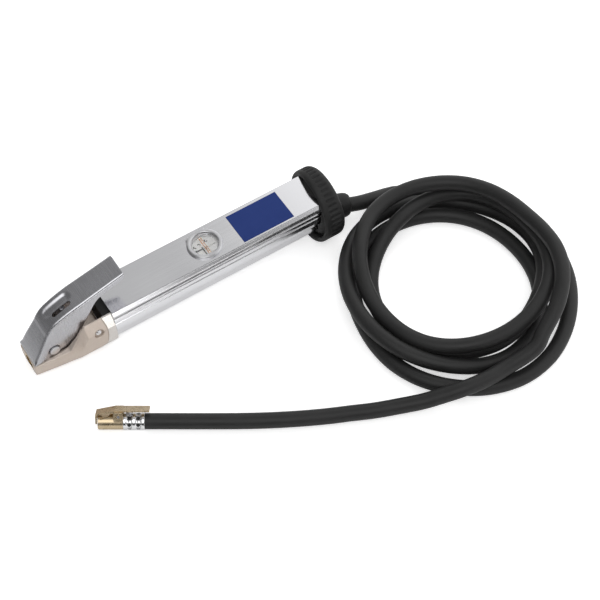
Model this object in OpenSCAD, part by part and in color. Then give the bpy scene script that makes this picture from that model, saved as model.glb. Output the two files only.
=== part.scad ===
// Tyre inflator with gauge: extruded barrel, cast nose with a trigger lever, guard and air hose.
// The barrel's own frame has x from the nose joint to the guard and z up through the gauge.
// lay() sets that frame down on the ground, resting on the guard's rim and the nose's sole.

/* [Barrel] */
// Length of the extruded barrel
barrel_len = 205; // [180:1:260]
// Width of the flat top face
top_w = 36; // [34:0.5:37]
// Width across the widest part of the sides
side_w = 43; // [42:0.5:46]
// Height of the top face above the barrel's axis
top_h = 22; // [21:0.5:24]
// Depth of the underside below the axis
sole_h = 20; // [19:0.5:22]
// Radius of the two lower corners
corner_r = 16; // [13:0.5:17]
// Radius of the air passage under the gauge
passage_r = 3.2; // [2:0.1:3.6]
// Depth of the air passage below the axis
passage_drop = 13; // [12.5:0.1:14]

/* [Gauge] */
// Distance from the nose joint to the middle of the gauge
gauge_x = 96.5; // [80:0.5:110]
// Outer radius of the bezel
bezel_r = 15.2; // [14.5:0.1:16]
// Radius of the opening in the bezel
window_r = 11.3; // [10:0.1:11.6]
// Height of the bezel above the top face
bezel_h = 2.4; // [1.8:0.1:4]
// Radius of the gauge tube's seat in the barrel
gauge_bore_r = 8.5; // [7.5:0.1:9]
// Height of the gauge tube above the barrel's axis
gauge_lift = 4.5; // [4:0.1:5]
// Wall of the gauge tube
gauge_wall = 1.2; // [1:0.1:1.6]
// Length of the gauge tube
gauge_len = 96; // [84:1:120]
// Travel of the gauge pointer
pointer_travel = 13; // [8:0.5:14]

/* [Label] */
// Length of the label plate
label_len = 48; // [30:0.5:60]
// Width of the label plate
label_w = 31; // [20:0.5:33]
// Thickness of the label plate
label_t = 0.3; // [0.2:0.05:0.6]
// Gap from the bezel to the label
label_gap = 13.3; // [4:0.1:20]

/* [Nose] */
// Length of the cast nose
nose_len = 72; // [68:0.5:76]
// Width at the tip of the nose
tip_w = 28; // [26:0.5:32]
// Width of the mechanism recess
recess_w = 29.4; // [28:0.2:31]
// Depth of the recess floor below the axis
recess_drop = 2; // [1:0.1:3]
// Radius of the curved joint between the nose and its collar
joint_r = 46.5; // [40:0.5:60]
// Radius of the round screw heads
screw_r = 2.9; // [2:0.1:3.2]
// Radius of the air inlet thread
inlet_r = 5.72; // [5.5:0.01:5.9]
// Length of the air inlet thread
inlet_len = 12; // [9:0.5:14]

/* [Trigger] */
// Thickness of the lever's steel
lever_t = 1.6; // [1.2:0.1:2]
// Half width of the lever's flat rear end
lever_rear_w = 10.6; // [10:0.1:12]
// Half width of the lever's nose end
lever_front_w = 14.2; // [13.8:0.1:15]
// Radius of the pivot pin
pivot_r = 2.2; // [1.8:0.1:2.6]
// Radius of the pivot pin's head
pivot_head_r = 4.2; // [3.4:0.1:4.6]
// Distance of the pivot ahead of the barrel's end
pivot_x = -51.7; // [-53:0.1:-51]
// Height of the pivot above the axis
pivot_z = 4.7; // [4.2:0.1:5.2]
// Full swing of the lever in degrees
lever_swing = 12; // [8:0.5:12]

/* [Valve] */
// Distance of the valve ahead of the barrel's end
valve_x = -34; // [-35:0.1:-33]
// Radius of the valve's stem
stem_r = 2.5; // [2:0.1:2.8]
// Radius of the valve's bore
valve_bore_r = 5.5; // [5:0.1:6]
// Free gap between the stem and the lever
stem_gap = 0.5; // [0.3:0.05:0.8]
// Wire radius of the springs
wire_r = 0.45; // [0.35:0.05:0.6]

/* [Guard] */
// Outer radius of the guard
guard_r = 32; // [30:0.5:36]
// Length of the guard's ribbed band
guard_len = 21.5; // [18:0.5:24]
// Distance that the guard's lip stands ahead of the barrel's end
guard_lead = 14; // [12:0.5:16]
// Slant of the guard's front edge in degrees, its top further back
guard_slant = 5.8; // [0:0.2:7]
// Number of ribs round the guard
ribs = 32; // [24:1:40]
// Depth of the grooves between the ribs
rib_depth = 1.1; // [0.6:0.1:1.4]
// Outer radius of the boot at the hose outlet
boot_r = 10.8; // [10:0.1:12]
// Length of the boot
boot_len = 11.6; // [11:0.2:16]

/* [Hose] */
// Outer radius of the hose
hose_r = 6.5; // [6.3:0.1:6.5]
// Height from one layer of turns to the next
layer_h = 13.6; // [13.6:0.1:14]

/* [Connector] */
// Radius of the crimped ferrule
ferrule_r = 7; // [6.9:0.1:7]
// Length of the crimped ferrule
ferrule_len = 17; // [15:0.5:20]
// Length of the connector's body
mouth_len = 20; // [18:0.5:24]
// Radius of the connector's body
mouth_body_r = 6.7; // [6.5:0.1:6.9]
// Radius of the mouth that takes the tyre valve
mouth_r = 4.1; // [3.9:0.05:4.3]
// Thickness of the plate round the mouth
mouth_plate = 2; // [1.5:0.1:3]
// Width of the clip
clip_w = 9.4; // [8:0.1:10]
// Height of the clip's thumb plate above the hose's axis
clip_h = 11.4; // [11:0.1:13]
// Thickness of the clip's steel
clip_t = 1.3; // [1:0.1:1.6]
// Slope of the lip under the jaw in degrees
lip_slope = 16; // [10:1:18]
// Swing of the clip in degrees
clip_swing = 7; // [5:0.5:7]

/* [Clearances] */
// Radial clearance of a part that turns or slides
run_gap = 0.05; // [0.02:0.01:0.1]
// Gap between a moving part and its neighbour
free_gap = 0.4; // [0.3:0.05:0.8]

/* [Hidden] */
$fn = 64;
eps = 0.01;
top_half = top_w / 2;
side_half = side_w / 2;
corner_x = side_half - corner_r;
corner_z = corner_r - sole_h;
keel_r = corner_r + 1;
keel_x = side_half - 2.3 - keel_r;
keel_z = keel_r - sole_h;

// Where the inflator touches the ground, in its own frame
guard_x = barrel_len - guard_lead;
sole_front = -34;
wall_x = -25;
slot_x = -57;
slot_half = 13;
crest = slot_half + 0.9;
crest_line = [[-nose_len, -2], [-52, 0.1], [-41.5, 1.8], [sole_front, 7.7], [-29.5, 13]];
crest_cut = 0.05;
shoulder_z = 9.7;
crest_half = 16;
crest_z = top_h - 1.5;
screw_pos = [-15, 0, 8.5];
screw_seat = 18.4;
screw_well = screw_r + 1.2;
pitch = atan((guard_r - sole_h) / (guard_x - sole_front));
guard_back = guard_x + guard_len;
lip_t = 2.3;
lip_front = 3;
guard_lip = [guard_r - lip_t, guard_x + lip_front];
back_round = 6.5;
back_face = guard_back + 3;
dome_r = 28.4;
plate_r = 24;
plate_t = 2;
fitting_r = 5.3;
middle_x = (guard_back + 3 - nose_len) / 2;
ground_z = guard_r * cos(pitch) - (guard_x - middle_x) * sin(pitch);
function laid(x, z) = let (u = x - middle_x)
    [u * cos(pitch) - z * sin(pitch), 0, ground_z + u * sin(pitch) + z * cos(pitch)];

// Gauge levels, in the barrel's frame
gauge_r = gauge_bore_r - run_gap;
piston_bore_r = gauge_r - gauge_wall;
gauge_end = gauge_x + gauge_len / 2 + 6;
gauge_start = gauge_end - gauge_len;
well_r = window_r + 1.2;
well_floor = top_h - 4.4;
scale_t = 0.8;
lens_t = 1.4;
pointer_x = gauge_x - pointer_travel / 2;
piston_len = 12;

// Lever outline, in the barrel's frame
rear_tip = [18.5, 54.3];
plate_end = [-22.5, 43.9];
plate_low = [-35, 40.9];
knee = [-45, 35.8];
knee_out = [-51.3, 32.7];
knee_low = [-56, 24];
front_tip = [-71.4, 0.6];
cheek_rear = [17.6, 48.9];
cheek_neck = [-3, 42.6];
cheek_throat = [-12.5, 34.5];
cheek_low = [-31, 7.5];
cheek_bend = [-37, 0.4];
cheek_sole = [-45, 0.2];
pin_seat = 11.2;
clip_seat = 12.2;
slot_run = 6.4;
slot_r = 2.2;
dish_run = 7.6;
dish_deep = 0.8;
dish_r = 11.7;

// Valve levels, in the barrel's frame. The stem's travel is how far the lever's underside drops over it.
boss_top = 12;
boss_r = stem_r + 5;
inlet_drop = 10;
seat_top = 0;
seat_t = 2;
head_t = 2;
spring_curls = 5;
tip_r = stem_r - 0.6;
plate_mid = (plate_end + 2 * plate_low + knee) / 4;
plate_slope = atan((plate_end[1] - knee[1]) / (plate_end[0] - knee[0]));
under_plate = plate_mid[1] + (valve_x - plate_mid[0]) * tan(plate_slope) - lever_t / cos(plate_slope);
stem_top = under_plate - tip_r * tan(plate_slope) - stem_gap;
plate_dist = (under_plate - pivot_z) * cos(plate_slope) - (valve_x - pivot_x) * sin(plate_slope);
pressed_slope = plate_slope - lever_swing;
pressed_plate = pivot_z + (plate_dist + (valve_x - pivot_x) * sin(pressed_slope)) / cos(pressed_slope);
valve_travel = under_plate - pressed_plate;
head_bottom = seat_top - seat_t - head_t;
cap_top = head_bottom - valve_travel - 2 * wire_r * (spring_curls + 1);
cap_bottom = 0.5 - sole_h;

// Hose: the coil's centre, then stations every 45 degrees as a reach from it and a layer
coil_x = 189.25;
coil_y = -112;
reach = [
    103, 103.2, 102, 106, 111.5, 100, 81.5, 76,
    73.5, 73, 73.5, 81, 90, 87.5, 84.5, 83.5,
    87.5, 89, 87.5, 79.5, 77, 69.5, 64, 62,
    67.5, 88.5, 86, 85, 80, 74.5, 69, 73.5,
    83.5, 86, 82, 94.5, 103, 104
];
layer = [
    0, 0, 0, 0, 0, 0, 0, 0,
    0, 0, 0, 0, 0.1, 0.7, 1.15, 1,
    0.25, 0, 0.5, 1.1, 0.5, 0, 0, 0.15,
    1.1, 1, 1.5, 2.1, 1.6, 1.05, 1.1, 1.9,
    1.9, 2.15, 2.6, 2.9, 1.3, 1
];
turn_rings = 24;
first_ring = 1;
last_ring = 107;
lead_in_route = [[171.75, -6.6, 14.2], [186.25, -7.5, 11.2]];
lead_out_route = [
    [174.25, -215.5, 20], [154.25, -216, 20], [136.25, -213.5, 19], [121.25, -208, 14.5], [106.25, -202, 10],
    [89.25, -195, 8], [69.25, -187, 7], [51.25, -179, 7], [35.25, -172, 7], [14.75, -162, 7],
    [-5.75, -151, 7], [-26.75, -138.8, 7], [-50.75, -124, 7]
];
connector_pos = [-90.25, -99.3, ferrule_r];
connector_heading = 148;
connector_roll = 30;
boot_x = back_face + 4.5;
boot_sag = 3;
boot_foot = laid(boot_x, -passage_drop - boot_sag) - [0, 1, 0];
boot_heading = -14;
boot_dip = 8;

// Seal at the bottom of the connector's mouth, measured from the ferrule's front end
seal_at = 8;
seal_w = 2.5;
seal_r = mouth_r + 0.5;

// ---- frames and small helpers ----

module lay() {
    translate([0, 0, ground_z]) rotate([0, -pitch, 0]) translate([-middle_x, 0, 0]) children();
}

module along_x(x0 = 0) {
    translate([x0, 0, 0]) rotate([90, 0, 90]) children();
}

module rod_x(r, x0, x1) {
    translate([x0, 0, 0]) rotate([0, 90, 0]) cylinder(r = r, h = x1 - x0);
}

module rod_y(r, y0, y1) {
    translate([0, y0, 0]) rotate([-90, 0, 0]) cylinder(r = r, h = y1 - y0);
}

module rod_z(r, z0, z1) {
    translate([0, 0, z0]) cylinder(r = r, h = z1 - z0);
}

module both_sides() {
    children();
    mirror([0, 1, 0]) children();
}

module at_connector() {
    translate(connector_pos) rotate([0, 0, connector_heading]) rotate([connector_roll, 0, 0]) children();
}

function unit(v) = v / norm(v);
function curve(a, b, c, n = 6) = [for (i = [1 : n]) let (t = i / n)
    (1 - t) * (1 - t) * a + 2 * t * (1 - t) * b + t * t * c];
function normal_at(p, i) = let (d = unit(p[min(i + 1, len(p) - 1)] - p[max(i - 1, 0)])) [-d[1], d[0]];
function inset(p, t) = [for (i = [0 : len(p) - 1]) p[i] + t * normal_at(p, i)];

// Smooth value between the stations of a list
function station(v, i) = v[min(max(i, 0), len(v) - 1)];
function smooth(v, s) = let (i = floor(s), f = s - i, a = station(v, i - 1), b = station(v, i),
    c = station(v, i + 1), d = station(v, i + 2))
    b + (c - a) * f / 2 + (2 * a - 5 * b + 4 * c - d) * f * f / 2 + (3 * b - a - 3 * c + d) * f * f * f / 2;

// Rings of a tube swept along points, with the first and last faces square to the ends
function heading_at(p, i) = let (a = p[max(i - 1, 0)], b = p[i], c = p[min(i + 1, len(p) - 1)])
    i == 0 ? unit(c - b) : i == len(p) - 1 ? unit(b - a) : unit(unit(b - a) + unit(c - b));
function across(d) = unit(cross(d, [0, 0, 1]));
function ring(p, i, r, sides) = let (d = heading_at(p, i), u = across(d), w = cross(u, d))
    [for (k = [0 : sides - 1]) let (a = 360 * (k + 0.5) / sides) p[i] + r * (cos(a) * u + sin(a) * w)];

module swept_tube(p, r, sides) {
    last = len(p) - 1;
    polyhedron(
        points = [for (i = [0 : last]) each ring(p, i, r, sides)],
        faces = concat(
            [for (k = [1 : sides - 2]) [0, k + 1, k]],
            [for (i = [0 : last - 1]) for (k = [0 : sides - 1]) let (a = i * sides, n = (k + 1) % sides)
                each [[a + k, a + n, a + sides + n], [a + k, a + sides + n, a + sides + k]]],
            [for (k = [1 : sides - 2]) let (a = last * sides) [a, a + k, a + k + 1]]
        )
    );
}

// A coil spring along z, with 8 rings of 6 sides to a curl and flat first and last curls
module spring(r, h, curls) {
    rings = 8 * curls;
    rise = h - 2 * wire_r;
    swept_tube(
        [for (i = [0 : rings]) let (t = i / rings, a = 360 * i / 8)
            [r * cos(a), r * sin(a), wire_r + rise * t]],
        wire_r, 6
    );
}

// ---- barrel ----

// Half of the extrusion's outline: beads and grooves on the side, over a round lower corner
module half_section() {
    difference() {
        union() {
            polygon([
                [0, -sole_h], [keel_x, -sole_h], [keel_x, keel_z], [keel_x + keel_r, keel_z],
                [side_half - 1.6, -1], [side_half - 0.7, 1.6], [side_half + 0.3, 5.2], [side_half - 0.6, 6.1],
                [top_half + 0.8, 7.1], [top_half + 0.8, 8.8], [top_half + 0.4, top_h - 0.7],
                [top_half, top_h], [0, top_h]
            ]);
            translate([keel_x, keel_z]) circle(r = keel_r);
            translate([top_half - 0.1, 9.9]) circle(r = 1.9);
            translate([top_half - 2.6, top_h - 5.4]) circle(r = 4.2);
        }
        for (z = [20.4, 12.2]) {
            translate([top_half + 0.9, z]) circle(r = 0.9);
        }
        for (a = [-2, 9, 18, 27]) {
            translate([keel_x, keel_z] + (keel_r + 0.1) * [cos(a), -sin(a)]) circle(r = 0.45);
        }
        translate([-side_w, -sole_h - 1]) square([side_w, top_h + sole_h + 2]);
    }
}

module section() {
    half_section();
    mirror([1, 0]) half_section();
}

module barrel() {
    color("gainsboro") lay() difference() {
        along_x() linear_extrude(barrel_len) section();
        translate([0, 0, gauge_lift]) rod_x(gauge_bore_r, gauge_start - 4, barrel_len + 1);
        translate([0, 0, -passage_drop]) rod_x(passage_r, -1, barrel_len + 1);
        translate([gauge_start - 2, 0, 0]) rod_z(1.5, -passage_drop, gauge_lift);
        translate([gauge_x, 0, 0]) rod_z(well_r, well_floor, top_h + 1);
        translate([gauge_x, 0, 0]) rod_z(well_r - 1.5, gauge_lift, top_h);
        translate([0, 0, -passage_drop]) rod_x(5.5, barrel_len - 10, barrel_len + 1);
    }
}

// ---- nose ----

// A thin slice of the nose: round below, upright to its shoulder, then sloping in to its crest
module nose_slab(x, half, z, r, shoulder, top_half, top) {
    both_sides() {
        translate([0, half - r, z + r]) rod_x(r, x, x + eps, $fn = 32);
        translate([x, 0, shoulder - 1]) cube([eps, half, 1]);
        translate([x, 0, top - 1]) cube([eps, top_half, 1]);
    }
}

// Stations of the nose from its tip back, and its crest as seen from the side
module nose_step(i) {
    if (i == 0) nose_slab(-nose_len, tip_w / 2, 2.3 - sole_h, 7.5, -9, crest - 0.6, crest_line[0][1]);
    if (i == 1) nose_slab(crest_line[1][0], side_half - 3, 1.2 - sole_h, 12.8, -7, crest, crest_line[1][1]);
    if (i == 2) nose_slab(crest_line[2][0], side_half - 1.4, 0.5 - sole_h, 14.8, -5.5, crest,
        crest_line[2][1]);
    if (i == 3) nose_slab(sole_front, side_half, -sole_h, corner_r, -3, crest, crest_line[3][1]);
    if (i == 4) nose_slab(crest_line[4][0], side_half, -sole_h, corner_r, 2, crest + 0.6, crest_line[4][1]);
    if (i == 5) nose_slab(wall_x, side_half, -sole_h, corner_r, shoulder_z, crest_half, crest_z);
}

module nose_outline() {
    intersection() {
        union() {
            for (i = [0 : 4]) hull() {
                nose_step(i);
                nose_step(i + 1);
            }
            along_x(wall_x) linear_extrude(-wall_x) nose_end();
        }
        rotate([90, 0, 0]) translate([0, -crest_cut, -side_w]) linear_extrude(2 * side_w) polygon(concat(
            [[-nose_len - 1, -side_w], [1, -side_w], [1, crest_z], [wall_x, crest_z]],
            [for (i = [4 : -1 : 0]) crest_line[i]], [[-nose_len - 1, crest_line[0][1]]]
        ));
    }
}

module nose_end() {
    for (s = [-1, 1]) {
        translate([s * corner_x, corner_z]) circle(r = corner_r);
    }
    translate([-corner_x, -sole_h]) square([2 * corner_x, sole_h]);
    polygon([
        [-side_half, corner_z], [side_half, corner_z], [side_half, shoulder_z], [crest_half, crest_z],
        [-crest_half, crest_z], [-side_half, shoulder_z]
    ]);
}

// The bulging joint between the nose and its collar, as a round bar across the barrel
module joint_bar() {
    translate([-7.3 - joint_r, 0, 7.5]) rod_y(joint_r, -side_w, side_w, $fn = 128);
}

module recess(x0, x1, half = recess_w / 2) {
    translate([x0, -half, -recess_drop]) cube([x1 - x0, 2 * half, top_h + sole_h]);
}

module nose_block() {
    color("tan") lay() difference() {
        union() {
            difference() {
                intersection() {
                    nose_outline();
                    union() {
                        joint_bar();
                        translate([-nose_len - 1, -side_w, -side_w])
                            cube([nose_len - 32, 2 * side_w, 2 * side_w]);
                    }
                }
                recess(slot_x, 1, slot_half);
                recess(wall_x - 2, 1);
            }
            // Tongue that carries the pivot pin
            translate([pivot_x, 0, pivot_z]) rod_y(5, -9.6, 9.6);
            translate([pivot_x - 5, -9.6, -3]) cube([10, 19.2, 3 + pivot_z]);
            // Valve boss and the rib over the drilled air way
            translate([valve_x, 0, 0]) rod_z(boss_r, -3, boss_top);
            translate([valve_x, -6, -3]) cube([-10 - valve_x, 12, 8]);
        }
        translate([pivot_x, 0, pivot_z]) rod_y(pivot_r, -12, 12);
        translate([valve_x, 0, 0]) {
            rod_z(valve_bore_r, -sole_h - 1, seat_top);
            rod_z(stem_r + 1.5, seat_top - 1, seat_top + 5);
            rod_z(stem_r + run_gap, 0, boss_top + 1);
        }
        translate([valve_x, 0, 2.5]) rotate([0, 90 + atan((passage_drop + 2.5) / -valve_x), 0])
            cylinder(r = 2.4, h = 40);
        translate([0, 0, -inlet_drop]) rod_x(7.4, -nose_len - 1, inlet_len - nose_len + 1);
        translate([0, 0, -inlet_drop]) rod_x(3.4, -nose_len, valve_x);
        both_sides() translate(screw_pos) {
            rod_y(screw_well, screw_seat, side_half + 2);
            rod_y(screw_r / 2, screw_seat - 2.3, screw_seat + 0.5);
        }
    }
}

module nose_collar() {
    color("silver") lay() difference() {
        intersection() {
            nose_outline();
            translate([-10.4, -side_w, -side_w]) cube([10.4, 2 * side_w, 2 * side_w]);
        }
        joint_bar();
        recess(-12, 1);
        translate([0, 0, -passage_drop]) rod_x(passage_r, -12, 1);
    }
}

module front_gasket() {
    color("black") lay() translate([-7, 0.2 - recess_w / 2, 0.2 - recess_drop])
        cube([7, recess_w - 0.4, top_h + recess_drop - 3]);
}

module nose_screws() {
    head = screw_seat + 1.1;
    bulge = 2.4;
    color("whitesmoke") lay() both_sides() translate(screw_pos) difference() {
        union() {
            rod_y(screw_r / 2 - 0.02, screw_seat - 2.2, head);
            rod_y(screw_r, screw_seat, head);
            translate([0, head, 0]) intersection() {
                translate([0, -bulge, 0]) sphere(r = norm([screw_r, bulge]), $fn = 48);
                rod_y(screw_r, 0, bulge);
            }
        }
        translate([-0.35, head + 0.4, -screw_r]) cube([0.7, bulge, 2 * screw_r]);
    }
}

// ---- trigger ----

lever_top = concat(
    [rear_tip, plate_end], curve(plate_end, plate_low, knee), curve(knee, knee_out, knee_low), [front_tip]
);
cheek_edge = concat(
    [front_tip - [0, 0.9], cheek_sole], curve(cheek_sole, cheek_bend, cheek_low),
    [cheek_throat], curve(cheek_throat, [-8.5, 40.6], cheek_neck), [cheek_rear]
);
lever_under = inset(lever_top, lever_t);
lever_inner = concat([lever_under[0] + [4, 1.1]], lever_under, [front_tip - [-1.9, 6]]);

lever_widths = [
    [19.5, lever_rear_w], [0, lever_rear_w + 1.1], [-22, lever_rear_w + 1.8], [-46, lever_rear_w + 1.4],
    [-56, lever_rear_w + 1.6], [-64, lever_front_w - 0.5], [-72, lever_front_w]
];

module lever_plan(shrink = 0) {
    last = len(lever_widths) - 1;
    polygon(concat(
        [for (i = [0 : last]) lever_widths[i] + shrink * [1, -1]],
        [for (i = [last : -1 : 0]) [lever_widths[i][0] + shrink, shrink - lever_widths[i][1]]]
    ));
}

module lever_side(outline) {
    rotate([90, 0, 0]) translate([0, 0, -side_half]) linear_extrude(side_w) polygon(outline);
}

module trigger_lever() {
    color("slategray") lay() difference() {
        intersection() {
            lever_side(concat(lever_top, cheek_edge));
            translate([0, 0, -10]) linear_extrude(80) lever_plan();
        }
        intersection() {
            lever_side(concat(lever_inner, [[30, -6]]));
            translate([0, 0, -20]) linear_extrude(90) lever_plan(lever_t);
        }
        translate([pivot_x, 0, pivot_z]) {
            rod_y(pivot_r + run_gap, -side_half, side_half);
            rod_y(pivot_head_r + 1, -side_half, -pin_seat);
        }
        finger_slot();
        finger_dish();
    }
}

// Slot pressed through the plate
module finger_slot() {
    translate([-35.2, -3.5, 30]) {
        for (s = [-1, 1]) translate([s * slot_run, 0, 0]) rod_z(slot_r, 0, 30);
        translate([-slot_run, -slot_r, 0]) cube([2 * slot_run, 2 * slot_r, 30]);
    }
}

// Shallow dish pressed into the plate beside the slot
module finger_dish() {
    translate([-36.8, 4.3, 39.5]) rotate([0, -plate_slope, 0]) translate([0, 0, dish_r - dish_deep]) {
        rod_x(dish_r, -dish_run, dish_run);
        for (s = [-1, 1]) translate([s * dish_run, 0, 0]) sphere(r = dish_r - 0.05, $fn = 96);
    }
}

module lever_pin() {
    color("silver") lay() translate([pivot_x, 0, pivot_z]) {
        rod_y(pivot_r, -pin_seat - 1, clip_seat + 2.4);
        rod_y(pivot_head_r, -pin_seat - 1.9, -pin_seat - free_gap);
    }
}

module pin_clip() {
    color("dimgray") lay() translate([pivot_x, 0, pivot_z]) difference() {
        rod_y(pivot_head_r, clip_seat + free_gap, clip_seat + 1.4);
        rod_y(pivot_r, 0, side_half);
    }
}

// ---- valve ----

module inlet_bush() {
    color("goldenrod") lay() translate([0, 0, -inlet_drop]) difference() {
        rod_x(7.4, 0.4 - nose_len, inlet_len - nose_len + 1);
        rod_x(inlet_r, -nose_len - 1, inlet_len - nose_len);
        rod_x(3.4, -nose_len, 20 - nose_len);
    }
}

module valve_cap() {
    color("goldenrod") lay() translate([valve_x, 0, 0]) rod_z(valve_bore_r, cap_bottom, cap_top);
}

module valve_spring() {
    color("silver") lay() translate([valve_x, 0, cap_top])
        spring(valve_bore_r - 1.6, head_bottom - run_gap - cap_top, spring_curls);
}

module valve_stem() {
    color("goldenrod") lay() translate([valve_x, 0, 0]) {
        rod_z(valve_bore_r - 0.8, head_bottom, head_bottom + head_t - run_gap);
        rod_z(stem_r, head_bottom, stem_top - 1);
        rod_z(tip_r, stem_top - 1, stem_top);
    }
}

module valve_seat() {
    color("black") lay() translate([valve_x, 0, 0]) difference() {
        rod_z(valve_bore_r, seat_top - seat_t, seat_top);
        rod_z(stem_r + 1, seat_top - seat_t - 1, seat_top + 1);
    }
}

// ---- gauge ----

module gauge_tube() {
    color("goldenrod") lay() difference() {
        translate([0, 0, gauge_lift]) rod_x(gauge_r, gauge_start, gauge_end);
        translate([0, 0, gauge_lift]) rod_x(piston_bore_r, gauge_start - 1, gauge_end + 1);
        translate([pointer_x - 1.6, -1.2, gauge_lift]) cube([pointer_travel + 3.2, 2.4, gauge_r]);
    }
}

module gauge_piston() {
    line_z = well_floor + scale_t + 0.5;
    color("orangered") lay() difference() {
        union() {
            translate([pointer_x, 0, gauge_lift])
                rod_x(piston_bore_r - run_gap, -piston_len / 2, piston_len / 2);
            translate([pointer_x - 0.4, -0.8, gauge_lift]) cube([0.8, 1.6, line_z + 0.4 - gauge_lift]);
            translate([pointer_x - 0.4, -6, line_z]) cube([0.8, 12, 0.4]);
        }
        translate([0, 0, gauge_lift]) difference() {
            rod_x(gauge_r, pointer_x - 5, pointer_x - 3);
            rod_x(piston_bore_r - 1.6, pointer_x - 5, pointer_x - 3);
        }
    }
}

module piston_seal() {
    color("black") lay() translate([0, 0, gauge_lift]) difference() {
        rod_x(piston_bore_r - 0.02, pointer_x - 4.8, pointer_x - 3.2);
        rod_x(piston_bore_r - 1.5, pointer_x - 5, pointer_x - 3);
    }
}

module gauge_spring() {
    x0 = pointer_x + piston_len / 2 + 0.05;
    color("silver") lay() translate([x0, 0, gauge_lift]) rotate([0, 90, 0])
        spring(piston_bore_r - 1.2, gauge_end - 3 - x0 - 0.05, 11);
}

module gauge_plug() {
    color("dimgray") lay() translate([0, 0, gauge_lift]) {
        rod_x(piston_bore_r, gauge_end - 3, gauge_end);
        rod_x(gauge_bore_r, gauge_end, gauge_end + 5);
    }
}

module gauge_scale() {
    color("white") lay() translate([gauge_x, 0, well_floor]) difference() {
        cylinder(r = well_r - 0.1, h = scale_t);
        translate([-pointer_travel / 2 - 1.4, -1.3, -1]) cube([pointer_travel + 2.8, 2.6, 3]);
    }
}

module gauge_lens() {
    color("lightblue", 0.4) lay() translate([gauge_x, 0, 0])
        rod_z(well_r - 0.7, top_h - 0.4, top_h - 0.4 + lens_t);
}

module gauge_bezel() {
    color("silver") lay() translate([gauge_x, 0, 0]) difference() {
        union() {
            rod_z(well_r - 0.05, well_floor + scale_t, top_h);
            rotate_extrude() polygon([
                [window_r, top_h], [bezel_r, top_h], [bezel_r, top_h + bezel_h - 1],
                [bezel_r - 1, top_h + bezel_h], [window_r + 0.8, top_h + bezel_h],
                [window_r, top_h + bezel_h - 0.8]
            ]);
            for (a = [70, 130]) rotate([0, 0, a])
                translate([bezel_r - 1, -2, top_h]) cube([2, 4, bezel_h - 0.6]);
        }
        rod_z(window_r - 0.3, well_floor, top_h - 0.5);
        rod_z(window_r, top_h - 0.5, top_h + bezel_h + 1);
        rod_z(well_r - 0.7, top_h - 0.4, top_h - 0.4 + lens_t);
    }
}

module label_plate() {
    x0 = gauge_x + bezel_r + label_gap;
    color("midnightblue") lay()
        translate([x0, -0.85 - label_w / 2, top_h]) cube([label_len, label_w, label_t]);
}

// ---- guard ----

module hand_guard() {
    band = guard_x + 10;
    groove_r = 1.6;
    color("black") lay() difference() {
        along_x() guard_shell();
        along_x(guard_x - 1) linear_extrude(barrel_len - guard_x + 1) section();
        for (i = [0 : ribs - 1]) rotate([360 * (i + 0.5) / ribs, 0, 0])
            translate([0, 0, guard_r + groove_r - rib_depth]) rod_x(groove_r, band, back_face, $fn = 16);
        translate([0, 0, -passage_drop]) rod_x(fitting_r + 0.1, barrel_len - 1, back_face + 1);
        rod_x(plate_r, barrel_len, barrel_len + plate_t + 0.2);
        translate([guard_x, 0, -guard_r]) rotate([0, guard_slant, 0])
            translate([-guard_len, -2 * guard_r, -guard_r]) cube([guard_len, 4 * guard_r, 4 * guard_r]);
    }
}

module guard_shell() {
    rotate_extrude($fn = 96) polygon(concat(
        [[0, barrel_len - 12.5]],
        [for (a = [10 : 10 : 80]) [dome_r * sin(a), barrel_len - 6.5 - 6 * cos(a)]],
        [[dome_r + 0.2, barrel_len - 6]],
        [for (a = [180 : -22.5 : 0]) guard_lip + [lip_t * cos(a), -lip_front * sin(a)]],
        [for (a = [0 : 15 : 90])
            [guard_r - back_round * (1 - cos(a)), back_face - back_round * (1 - sin(a))]],
        [[0, back_face]]
    ));
}

module end_plate() {
    color("silver") lay() difference() {
        rod_x(plate_r - 0.1, barrel_len, barrel_len + plate_t);
        translate([0, 0, -passage_drop]) rod_x(fitting_r + 0.1, barrel_len - 1, barrel_len + 3);
    }
}

module outlet_fitting() {
    color("goldenrod") {
        lay() translate([0, 0, -passage_drop]) difference() {
            rod_x(fitting_r, barrel_len - 9.5, back_face - 0.4);
            rod_x(2.5, barrel_len - 11, back_face + 1);
        }
    }
}

module at_boot() {
    translate(boot_foot) rotate([0, 0, boot_heading]) rotate([0, 90 + boot_dip, 0]) children();
}

// An elbow: straight out of the guard, round a ball, then along the hose
module outlet_boot() {
    color("black") difference() {
        intersection() {
            union() {
                translate(boot_foot) sphere(r = boot_r);
                at_boot() rotate_extrude() polygon([
                    [0, 0], [boot_r - 0.4, 0], [boot_r - 0.6, boot_len - 4.4], [boot_r - 1.2, boot_len - 2.2],
                    [boot_r - 2.1, boot_len - 0.7], [boot_r - 3.2, boot_len], [0, boot_len]
                ]);
            }
            lay() rod_x(2 * guard_r, back_face, boot_x + 2 * boot_len);
        }
        at_boot() cylinder(r = hose_r + run_gap, h = boot_len + 1);
        lay() translate([0, 0, -passage_drop]) rod_x(2.5, guard_back, boot_x);
    }
}

// ---- hose ----

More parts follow.
